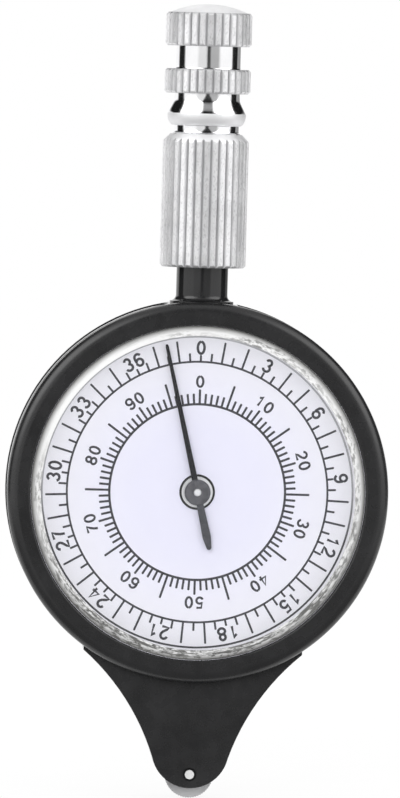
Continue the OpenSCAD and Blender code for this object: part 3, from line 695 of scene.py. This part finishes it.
def crystal():
    lowest, highest = (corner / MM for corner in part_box("lens"))
    front, back, skirt_r = lowest.y, highest.y, highest.x
    flat_r, neck_r, inner_r = LENS_FLAT_R / MM, skirt_r - 1.0, skirt_r - 1.95
    wall, shoulder_y = 1.1, low("bezel_ring").y / MM + LIP_T
    outline = [(0, front), (flat_r - INNER_EDGE, front), (flat_r, front)]
    outline += [(flat_r + (neck_r - flat_r) * i / BEVEL_STEPS,
                 front + BEVEL_DEPTH * i / BEVEL_STEPS) for i in range(1, BEVEL_STEPS + 1)]
    outline += [(neck_r, shoulder_y), (skirt_r, shoulder_y), (skirt_r, back), (inner_r, back),
                (inner_r, front + wall), (0, front + wall)]
    lens = turned_round_dial("crystal", outline, RING_STEPS)
    soften(lens)
    settle(lens, CLEAR, "case", "clear_plastic", "lens")
    lens.data.materials.append(SILVERY_RIM)
    for face in lens.data.polygons:
        radius = hypot(face.center.x, face.center.z - DIAL_Z)
        outside = face.normal.y < 0 and face.center.y < (front + BEVEL_DEPTH - 0.02) * MM
        if outside and radius > LENS_FLAT_R - INNER_EDGE * MM:
            face.material_index = 1


crystal()

# %% [markdown]
# ## Smooth copies of the two shells
# The front and rear shells keep their solid shape. Their rounded edges have a few flat steps, and
# a CAD mesh is loose triangles. So each is copied, its doubles are merged, and it is shaded
# smooth where faces meet at a small angle. The CAD mesh itself is never changed.
# In the photograph a fine dark line runs round the top edge, behind a light gap. It is the lip of
# the rear shell. So the copies' round side is cut at the lip and drawn in by a seventh of a
# millimetre in front of it. The snout and the foot of the stem are left alone. The cut's usual
# threshold is too coarse for so thin a slope, so a finer one is given.

# %% Smooth shells
LIP = 0.14 * MM
LIP_SLOPE = 0.03 * MM
SHELL_SMOOTH = radians(24)


def slim_side(piece, back_y):
    """Draws the round side in a little as far as back_y, so that a lip stays behind it."""
    snout_top, stem_half, tolerance = -19 * MM, 5 * MM, 0.02 * MM
    only(piece)
    mode("EDIT")
    for y in (back_y, back_y + LIP_SLOPE):
        select_mesh("SELECT")
        bpy.ops.mesh.bisect(plane_co=(0, y, 0), plane_no=(0, 1, 0), threshold=1e-6)
    select_mesh("DESELECT")
    mode("OBJECT")
    for vertex in piece.data.vertices:
        place = vertex.co - DIAL_CENTRE
        on_side = abs(hypot(place.x, place.z) - RING_R) < tolerance
        clear = place.z > snout_top and not (abs(place.x) < stem_half and place.z > 0)
        vertex.select = on_side and clear and vertex.co.y < back_y + LIP_SLOPE / 2
    mode("EDIT")
    draw_in = 1 - LIP / RING_R
    bpy.ops.transform.resize(value=(draw_in, 1, draw_in), center_override=DIAL_CENTRE)
    mode("OBJECT")


def smooth_shell(node, name, side_end):
    piece = own_copy(nodes[node])
    piece.name = piece.data.name = name
    piece.parent = None
    for key in list(piece.keys()):
        del piece[key]
    only(piece)
    bpy.ops.mesh.customdata_custom_splitnormals_clear()
    mode("EDIT")
    select_mesh("SELECT")
    bpy.ops.mesh.remove_doubles(threshold=0.0005 * MM)
    mode("OBJECT")
    slim_side(piece, side_end)
    soften(piece, least=SHELL_SMOOTH)
    settle(piece, BLACK, "case", "black_plastic", node)


smooth_shell("case_body", "front_shell", 0.9 * MM)
smooth_shell("rear_cover", "rear_shell", 4.5 * MM)

# %% [markdown]
# ## The handle
# The real handle is turned from one straight-knurled bar: the flutes on the cap, the ring and the
# grip line up. It is made the same way here. A cylinder gets its flutes by drawing every fourth
# group of edges inward, an outline is spun to the turned shape, and a Boolean keeps what both
# share. The outline also has the blind bore for the stem. The bead under the ring bulges below
# and runs up to the neck in a hollow cone. Last, the faces far from the axis get the knurled
# finish, the dome, the bulge of the bead and the grip's sloped shoulder the satin one, and the
# necks and the cone keep the polish.

# %% Handle
FLUTES = 32
EDGES_PER_FLUTE = 8
FLUTE_DEPTH = 0.34 * MM
# which edges of a flute are drawn in, and by how much of the depth
FLUTE_SHAPE = ((4, 1.0), (3, 0.62), (5, 0.62))
GRIP_TOP, BEAD_FOOT, BEAD_TOP = 17.6, 18.55, 21.9
BULGE_R = 1.45
# how far up the cone, and how much of the bead's swell is left there
CONE_SHAPE = ((0.1, 0.98), (0.2, 0.91), (0.32, 0.79), (0.5, 0.58), (0.7, 0.35), (0.86, 0.17),
              (1.0, 0.05))


def fluted_bar(radius, bottom, top):
    start_fresh()
    bpy.ops.mesh.primitive_cylinder_add(
        vertices=FLUTES * EDGES_PER_FLUTE, radius=radius, depth=top - bottom,
        location=(0, 0, (top + bottom) / 2))
    bar = bpy.context.object
    bar.name = "fluted_bar"
    bpy.ops.object.transform_apply(location=True)
    for edge, share in FLUTE_SHAPE:
        mode("EDIT")
        bpy.ops.mesh.select_mode(type="VERT")
        select_mesh("DESELECT")
        mode("OBJECT")
        for vertex in bar.data.vertices:
            vertex.select = vertex.index // 2 % EDGES_PER_FLUTE == edge
        mode("EDIT")
        draw_in = (radius - FLUTE_DEPTH * share) / radius
        bpy.ops.transform.resize(value=(draw_in, draw_in, 1), center_override=(0, 0, bottom))
        mode("OBJECT")
    return bar


def handle_outline():
    """Half of the handle's section in millimetres, from the bore's edge to its end."""
    lowest, highest = (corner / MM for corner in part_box("handle"))
    foot, r = lowest.z, highest.x
    neck, swell, bore, bore_l = 4.3, 0.85, 3.45, 11.6
    chamfer, hollow_r = 0.3, 0.22
    grip_top, bead_foot, bead_top = foot + GRIP_TOP, foot + BEAD_FOOT, foot + BEAD_TOP
    bulge_z = bead_foot + BULGE_R
    ring_foot = bead_top + 0.9
    ring_top = ring_foot + 3.2
    cap_foot = ring_top + 3.0
    cap_top = cap_foot + 4.4
    dome_r = r - 2 * chamfer
    dome_h = highest.z - cap_top
    dome_ball = (dome_r ** 2 + dome_h ** 2) / (2 * dome_h)
    dome_angle = asin(dome_r / dome_ball) * 180 / pi

    def band(z0, z1):
        return [(r - chamfer, z0), (r, z0 + chamfer), (r, z1 - chamfer), (r - chamfer, z1)]

    def hollow(z):
        return [(neck + hollow_r, z), (neck + 0.07, z + 0.07), (neck, z + hollow_r)]

    shoulder = [(r, grip_top - 1.25), (r - 0.1, grip_top - 1.0), (r - 0.95, grip_top - 0.13),
                (r - 1.15, grip_top)]
    bulge = [(neck + swell * cos(radians(a)), bulge_z + BULGE_R * sin(radians(a)))
             for a in range(-84, 1, 7)]
    cone = [(neck + swell * left, bulge_z + (bead_top - bulge_z) * up) for up, left in CONE_SHAPE]
    return ([(bore, foot), (r - chamfer, foot), (r, foot + chamfer)] + shoulder
            + hollow(grip_top) + [(neck, bead_foot)] + bulge + cone + [(neck, ring_foot)]
            + band(ring_foot, ring_top) + hollow(ring_top) + [(neck, cap_foot)]
            + band(cap_foot, cap_top)
            + arc((0, highest.z - dome_ball), dome_ball, 90 - dome_angle, 90, 10)
            + [(0, foot + bore_l), (bore, foot + bore_l)])


def knurled_handle():
    lowest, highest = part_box("handle")
    bar = fluted_bar(highest.x, lowest.z - MM, highest.z + MM)
    points = [Vector((r * MM, 0, z * MM)) for r, z in handle_outline()]
    handle = turned_piece("knurled_handle", points, (0, 0, lowest.z), UP, 128)
    combine(handle, "INTERSECT", bar)
    soften(handle, least=radians(28))
    settle(handle, PLATED, "case", "bright_metal", "handle")
    handle.data.materials.append(KNURLED)
    handle.data.materials.append(SATIN)
    flutes_r, shoulder_r, dome_h = 5.25 * MM, 4.6 * MM, 1.3 * MM
    for face in handle.data.polygons:
        radius = hypot(face.center.x, face.center.y)
        up = (face.center.z - lowest.z) / MM
        on_bulge = BEAD_FOOT + 0.05 < up < BEAD_FOOT + 1.55
        on_shoulder = radius > shoulder_r and GRIP_TOP - 1.6 < up < GRIP_TOP + 0.05
        if radius > flutes_r:
            face.material_index = 1
        elif on_bulge or on_shoulder or face.center.z > highest.z - dome_h:
            face.material_index = 2


knurled_handle()

# %% [markdown]
# ## The needle
# The needle was stamped from thin sheet: a long point, a disc under the hub, and a short tail that
# widens towards a round end. Its outline is drawn flat and upright over the dial, filled and
# thickened. A Boolean cuts the hole for the hub's sleeve, a small bevel takes off the burr, and a
# turn about the dial's axis brings it to where it rests.

# %% Needle
NEEDLE_REST = radians(-13.3)


def needle():
    front, back = low("pointer").y, high("pointer").y
    tip_l, tail_l, disc_r, sleeve_r, slate_from = 19.85, 7.7, 1.55, 0.62, 1.2
    # half widths at the disc and near the tip, and of the tail where it starts, widens and ends
    root, tip, tail_root, tail_wide, tail_end = 0.39, 0.21, 0.44, 0.56, 0.33
    side = [(0.15, tip_l - 0.06), (tip, tip_l - 0.3), (root, sqrt(disc_r ** 2 - root ** 2))]
    start = acos(root / disc_r) * 180 / pi
    end = -acos(tail_root / disc_r) * 180 / pi
    side += arc((0, 0), disc_r, start, end, 10)[1:]
    side += [(tail_wide, -0.78 * tail_l), (tail_end, -tail_l + 0.25)]
    side += arc((0, -tail_l + tail_end), tail_end, -30, -90, 4)
    outline = [(0, tip_l), *side, *[(-x, z) for x, z in reversed(side[:-1])]]
    points = [Vector((x * MM, back, DIAL_Z + z * MM)) for x, z in outline]
    piece = draw_outline("needle", points)
    bpy.ops.mesh.edge_face_add()
    bpy.ops.mesh.extrude_region_move(TRANSFORM_OT_translate={"value": (0, front - back, 0)})
    select_mesh("SELECT")
    bpy.ops.mesh.normals_make_consistent(inside=False)
    mode("OBJECT")
    start_fresh()
    bpy.ops.mesh.primitive_cylinder_add(vertices=48, radius=sleeve_r * MM, depth=4 * MM,
                                        location=DIAL_CENTRE, rotation=(pi / 2, 0, 0))
    combine(piece, "DIFFERENCE", bpy.context.object)
    soften(piece, 0.07 * MM)
    piece.matrix_world = (Matrix.Translation(DIAL_CENTRE) @ Matrix.Rotation(NEEDLE_REST, 4, "Y")
                          @ Matrix.Translation(-DIAL_CENTRE))
    only(piece)
    bpy.ops.object.transform_apply(location=True, rotation=True)
    settle(piece, NEEDLE_BLACK, "pointer_arbor", "pointer_black", "pointer")
    piece.data.materials.append(TAIL_SLATE)
    along = Vector((sin(NEEDLE_REST), 0, cos(NEEDLE_REST)))
    for face in piece.data.polygons:
        if (face.center - DIAL_CENTRE).dot(along) < -slate_from * MM:
            face.material_index = 1


needle()

# %% [markdown]
# ## The printed scales
# The outer scale has 39 units in a turn and the inner one 100. Both stand on a printed circle. A
# mark is modelled once, as a thin strip with softened corners, and copied round the dial.

# %% Marks
INK_T = 0.02 * MM
OUTER_UNITS, OUTER_CIRCLE = 39, 17.1
INNER_UNITS, INNER_CIRCLE = 100, 11.53


def one_mark(length, width):
    """A strip that stands up from the dial's centre line, its foot at the origin."""
    start_fresh()
    bpy.ops.mesh.primitive_plane_add(size=1)
    mark = bpy.context.object
    mode("EDIT")
    select_mesh("SELECT")
    bpy.ops.transform.resize(value=(width, length, 1), center_override=(0, 0, 0))
    bpy.ops.transform.translate(value=(0, length / 2, 0))
    bpy.ops.mesh.bevel(offset=width * 0.2, segments=1, affect="VERTICES")
    bpy.ops.mesh.extrude_region_move(TRANSFORM_OT_translate={"value": (0, 0, INK_T)})
    mode("OBJECT")
    return mark


def on_dial(turns, radius):
    """Stands something drawn flat on the dial, at that radius and share of a turn."""
    return (Matrix.Translation(DIAL_CENTRE) @ Matrix.Rotation(2 * pi * turns, 4, "Y")
            @ Matrix.Translation((0, 0, radius)) @ Matrix.Rotation(pi / 2, 4, "X"))


def join(name, made):
    """Joins drawn things to one piece whose place is in its mesh."""
    start_fresh()
    for piece in made:
        piece.select_set(True)
    bpy.context.view_layer.objects.active = made[0]
    bpy.ops.object.join()
    joined = bpy.context.object
    joined.name = joined.data.name = name
    bpy.ops.object.transform_apply(location=True, rotation=True, scale=True)
    return joined


def printed_circle(name, radius, width):
    inner, outer = radius - width / 2, radius + width / 2
    back, front = DIAL_FRONT / MM, DIAL_FRONT / MM - INK_T / MM
    outline = [(inner, front), (outer, front), (outer, back), (inner, back)]
    return turned_round_dial(name, outline, 180)


def scale(name, units, circle, circle_w, mark_w, marks):
    """A printed circle with marks: for each length, the places in units where it stands."""
    made = [printed_circle(name, circle, circle_w)]
    for length, places in marks:
        mark = one_mark(length * MM, mark_w * MM)
        for place in places:
            copy = own_copy(mark)
            copy.matrix_world = on_dial(place / units, circle * MM)
            made.append(copy)
        bpy.data.objects.remove(mark)
    settle(join(name, made), INK, "case", "dial_face")


scale("outer_scale", OUTER_UNITS, OUTER_CIRCLE, 0.26, 0.27, [
    (2.83, [k for k in range(OUTER_UNITS) if k % 3]),
    (0.88, range(0, OUTER_UNITS, 3)),
    (1.13, [k + 0.5 for k in range(OUTER_UNITS)])])
scale("inner_scale", INNER_UNITS, INNER_CIRCLE, 0.30, 0.29, [
    (1.4, [k for k in range(INNER_UNITS) if k % 5]),
    (3.2, range(5, INNER_UNITS, 10)),
    (1.95, range(0, INNER_UNITS, 10))])
# the lens edge's painted shade line, laid on the dial as a thin ring
settle(printed_circle("edge_line", 20.4, 0.25), LENS_EDGE_SHADE, "case", "dial_face")

# %% [markdown]
# The figures are plain upright ones of even thickness. A font would be quick, but the one inside
# Blender has a bar for a 1. So each figure is one line of a pen: points in a box of height 1,
# drawn by extruding a vertex, turned into a curve, given the pen's thickness, and made a mesh.

# %% Figures as pen lines
FIGURE_HALF_W = 0.325
PEN_WIDTH = 0.185
FIGURE_STEP = 0.84


def bow(x, z, half_w, half_h, start, end, steps):
    """Points on part of an ellipse. Angles are in degrees, from the right and up."""
    return [(x + half_w * cos(radians(start + (end - start) * i / steps)),
             z + half_h * sin(radians(start + (end - start) * i / steps)))
            for i in range(steps + 1)]


SIX = (bow(0.33, 0.66, 0.25, 0.275, 28, 180, 10) + [(0.08, 0.46)]
       + bow(0.325, 0.315, 0.245, 0.25, 180, -178, 18))
PEN_LINES = {
    "0": bow(0.325, 0.5, 0.245, 0.435, 90, -268, 24),
    "1": [(0.13, 0.70), (0.25, 0.78), (0.36, 0.93), (0.36, 0.065)],
    "2": (bow(0.32, 0.685, 0.24, 0.25, 170, -25, 12)
          + [(0.45, 0.44), (0.20, 0.22), (0.09, 0.065), (0.59, 0.065)]),
    "3": (bow(0.315, 0.72, 0.205, 0.215, 165, -75, 12)
          + bow(0.32, 0.295, 0.245, 0.23, 72, -165, 14)),
    "4": [(0.44, 0.065), (0.44, 0.92), (0.06, 0.31), (0.62, 0.31)],
    "5": ([(0.55, 0.935), (0.18, 0.935), (0.11, 0.50)]
          + bow(0.315, 0.325, 0.25, 0.26, 128, -160, 14)),
    "6": SIX,
    "7": [(0.07, 0.935), (0.58, 0.935), (0.43, 0.70), (0.31, 0.40), (0.25, 0.065)],
    "8": (bow(0.325, 0.72, 0.205, 0.215, -88, 268, 18)
          + bow(0.325, 0.285, 0.25, 0.22, 88, -268, 20)),
    "9": [(2 * FIGURE_HALF_W - x, 1 - z) for x, z in SIX],
}


def pen_figure(figure, height, thickness):
    """One figure, flat, with its middle at the origin."""
    line = draw_line([Vector(((x - FIGURE_HALF_W) * height, (z - 0.5) * height, 0))
                      for x, z in PEN_LINES[figure]])
    mode("OBJECT")
    only(line)
    bpy.ops.object.convert(target="CURVE")
    line = bpy.context.object
    line.data.bevel_depth = thickness / 2
    line.data.bevel_resolution = 1
    line.data.use_fill_caps = True
    bpy.ops.object.convert(target="MESH")
    line = bpy.context.object
    line.scale = (1, 1, INK_T / thickness)
    bpy.ops.object.transform_apply(scale=True)
    return line


def numbers(name, values, units, radius, height, widen):
    figures = {key: pen_figure(key, height, PEN_WIDTH * height) for key in PEN_LINES}
    made = []
    for value in values:
        text = str(value)
        for place, figure in enumerate(text):
            copy = own_copy(figures[figure])
            beside = (place - (len(text) - 1) / 2) * FIGURE_STEP * height * widen
            copy.matrix_world = (on_dial(value / units, radius)
                                 @ Matrix.Translation((beside, 0, INK_T / 2))
                                 @ Matrix.Diagonal((widen, 1, 1, 1)))
            made.append(copy)
    for figure in figures.values():
        bpy.data.objects.remove(figure)
    settle(join(name, made), INK, "case", "dial_face")


numbers("outer_numbers", range(0, OUTER_UNITS, 3), OUTER_UNITS, 18.95 * MM, 1.80 * MM, 1.0)
numbers("inner_numbers", range(0, INNER_UNITS, 10), INNER_UNITS, 14.5 * MM, 1.56 * MM, 1.06)

# %% [markdown]
# ## Floor, backdrop and light
# The measurer stands on white paper in a white room. What the camera or a glass sees of that room
# is plain white, by the Light Path node, and the paper keeps a little of its shadow. The paper
# ends shortly in front of the measurer, or the flat black faces would mirror it and look grey.
# Bright metal only looks like metal if it mirrors something dark as well. So for mirrored rays the
# room has the dark gaps of a photo studio: beside the soft boxes, and where the camera stands.
# The two lamps only light what they fall on, and no glass or mirror shows them.

# %% Floor
FLOOR_SIZE, FLOOR_FRONT = 0.8, -0.008


def white_floor():
    start_fresh()
    bpy.ops.mesh.primitive_plane_add(
        size=FLOOR_SIZE, location=(0, FLOOR_FRONT + FLOOR_SIZE / 2, -0.02 * MM))
    floor = bpy.context.object
    floor.name = "studio_floor"
    finish, tree, shader = new_finish("white_paper", Roughness=0.9)
    grain = noise(tree, place_on_piece(tree), 60, 3)
    tree.links.new(mix_colours(tree, grain, grey(0.96), grey(1)), shader.inputs["Base Color"])
    path = tree.nodes.new("ShaderNodeLightPath")
    seen = reckon(tree, "MAXIMUM", path.outputs["Is Camera Ray"],
                  reckon(tree, "MAXIMUM", path.outputs["Is Transmission Ray"],
                         product(tree, path.outputs["Is Glossy Ray"], 0.6)))
    glow = add_node(tree, "ShaderNodeEmission", Color=(1, 1, 1, 1), Strength=1.0)
    mix_on_surface(tree, product(tree, seen, 0.88), shader, glow)
    floor.data.materials.append(finish)


white_floor()

# %% Room
def band_between(tree, value, start, end, blur):
    """1 between two values and 0 outside them, with soft edges."""
    rise = spread(tree, value, start - blur, start + blur)
    fall = spread(tree, value, end - blur, end + blur, 1, 0)
    return product(tree, rise, fall)


def studio_room():
    world = bpy.data.worlds.new("studio_room")
    bpy.context.scene.world = world
    world.use_nodes = True
    tree = world.node_tree
    tree.nodes.clear()
    way = tree.nodes.new("ShaderNodeTexCoord").outputs["Generated"]
    across, depth, height = (coordinate(tree, way, axis) for axis in "XYZ")
    # the angle from the front in degrees, counted to the right
    side = product(tree, 180 / pi, reckon(tree, "ARCTAN2", across, product(tree, depth, -1.0)))
    off_front = reckon(tree, "ABSOLUTE", side)
    # the dark place of the camera, which is wider overhead, and the grey wall round it
    lens_half = spread(tree, height, 0.15, 0.5, 6, 21)
    lens = spread(tree, reckon(tree, "SUBTRACT", off_front, lens_half), -2, 2, 1, 0)
    wall = spread(tree, off_front, 34, 42, 1, 0)
    gaps = band_between(tree, off_front, 92, 126, 3)
    corner = band_between(tree, side, 126, 158, 3)
    wall_light = mix_colours(tree, spread(tree, side, -12, 4), grey(0.80), grey(0.46))
    lens_light = mix_colours(tree, spread(tree, height, 0.1, 0.4), grey(0.06), grey(0.02))
    # two round soft boxes, above on the left and, weaker, above on the right
    left_box, right_box = (
        spread(tree, vectors(tree, "DOT_PRODUCT", "Value", i0=way, i1=aim), 0.84, 0.94)
        for aim in ((-0.66, -0.36, 0.66), (0.70, -0.36, 0.62)))
    # darkness above, behind the soft boxes, which draws a black edge outside their shine
    behind = band_between(tree, depth, 0.20, 0.96, 0.04)
    for limit in (spread(tree, height, 0.14, 0.26),
                  spread(tree, reckon(tree, "ABSOLUTE", across), 0.18, 0.34)):
        behind = product(tree, behind, limit)
    # the ceiling is a little greyer, and the dark table's edge lies below
    ceiling = spread(tree, height, 0.7, 0.95)
    table = spread(tree, height, -0.10, -0.35)
    light = grey(1.05)
    for share, shade in ((wall, wall_light), (lens, lens_light), (gaps, grey(0.012)),
                         (corner, grey(0.32)), (left_box, grey(3.4)), (right_box, grey(2.8)),
                         (behind, grey(0.008)), (ceiling, grey(0.72)), (table, grey(0.20))):
        light = mix_colours(tree, share, light, shade)
    soft = mix_colours(tree, spread(tree, height, 0, 0.9), grey(0.86), grey(1.05))
    # glass and the camera see white, and only a mirror outside the dial sees the studio
    path = tree.nodes.new("ShaderNodeLightPath")
    through_glass = product(tree, path.outputs["Is Transmission Ray"],
                            reckon(tree, "LESS_THAN", path.outputs["Diffuse Depth"], 0.5))
    seen = reckon(tree, "MAXIMUM", path.outputs["Is Camera Ray"], through_glass)
    from_dial = reckon(tree, "GREATER_THAN", path.outputs["Diffuse Depth"], 0.5)
    mirrored = product(tree, path.outputs["Is Glossy Ray"],
                       reckon(tree, "SUBTRACT", 1.0, from_dial))
    colour = mix_colours(tree, seen, mix_colours(tree, mirrored, soft, light), grey(1))
    background = add_node(tree, "ShaderNodeBackground", Color=colour, Strength=1.0)
    output = tree.nodes.new("ShaderNodeOutputWorld")
    tree.links.new(background.outputs[0], output.inputs["Surface"])


studio_room()

# %% Lamps
def soft_lamp(name, place, size, watts):
    start_fresh()
    bpy.ops.object.light_add(type="AREA", location=place)
    lamp = bpy.context.object
    lamp.name = name
    lamp.data.shape = "SQUARE"
    lamp.data.size = size
    lamp.data.energy = watts
    aim = DIAL_CENTRE - lamp.location
    lamp.rotation_euler = aim.to_track_quat("-Z", "Y").to_euler()
    lamp.visible_transmission = lamp.visible_glossy = False


soft_lamp("key_lamp", (-0.24, -1.14, 0.38), 0.5, 6.0)
soft_lamp("fill_lamp", (0.38, -1.18, 0.18), 0.6, 3.0)

# %% [markdown]
# ## Finish
# The view transform is Standard, so that a colour renders as it is written.

# %% Finish
bpy.context.scene.view_settings.view_transform = "Standard"
bpy.context.view_layer.update()
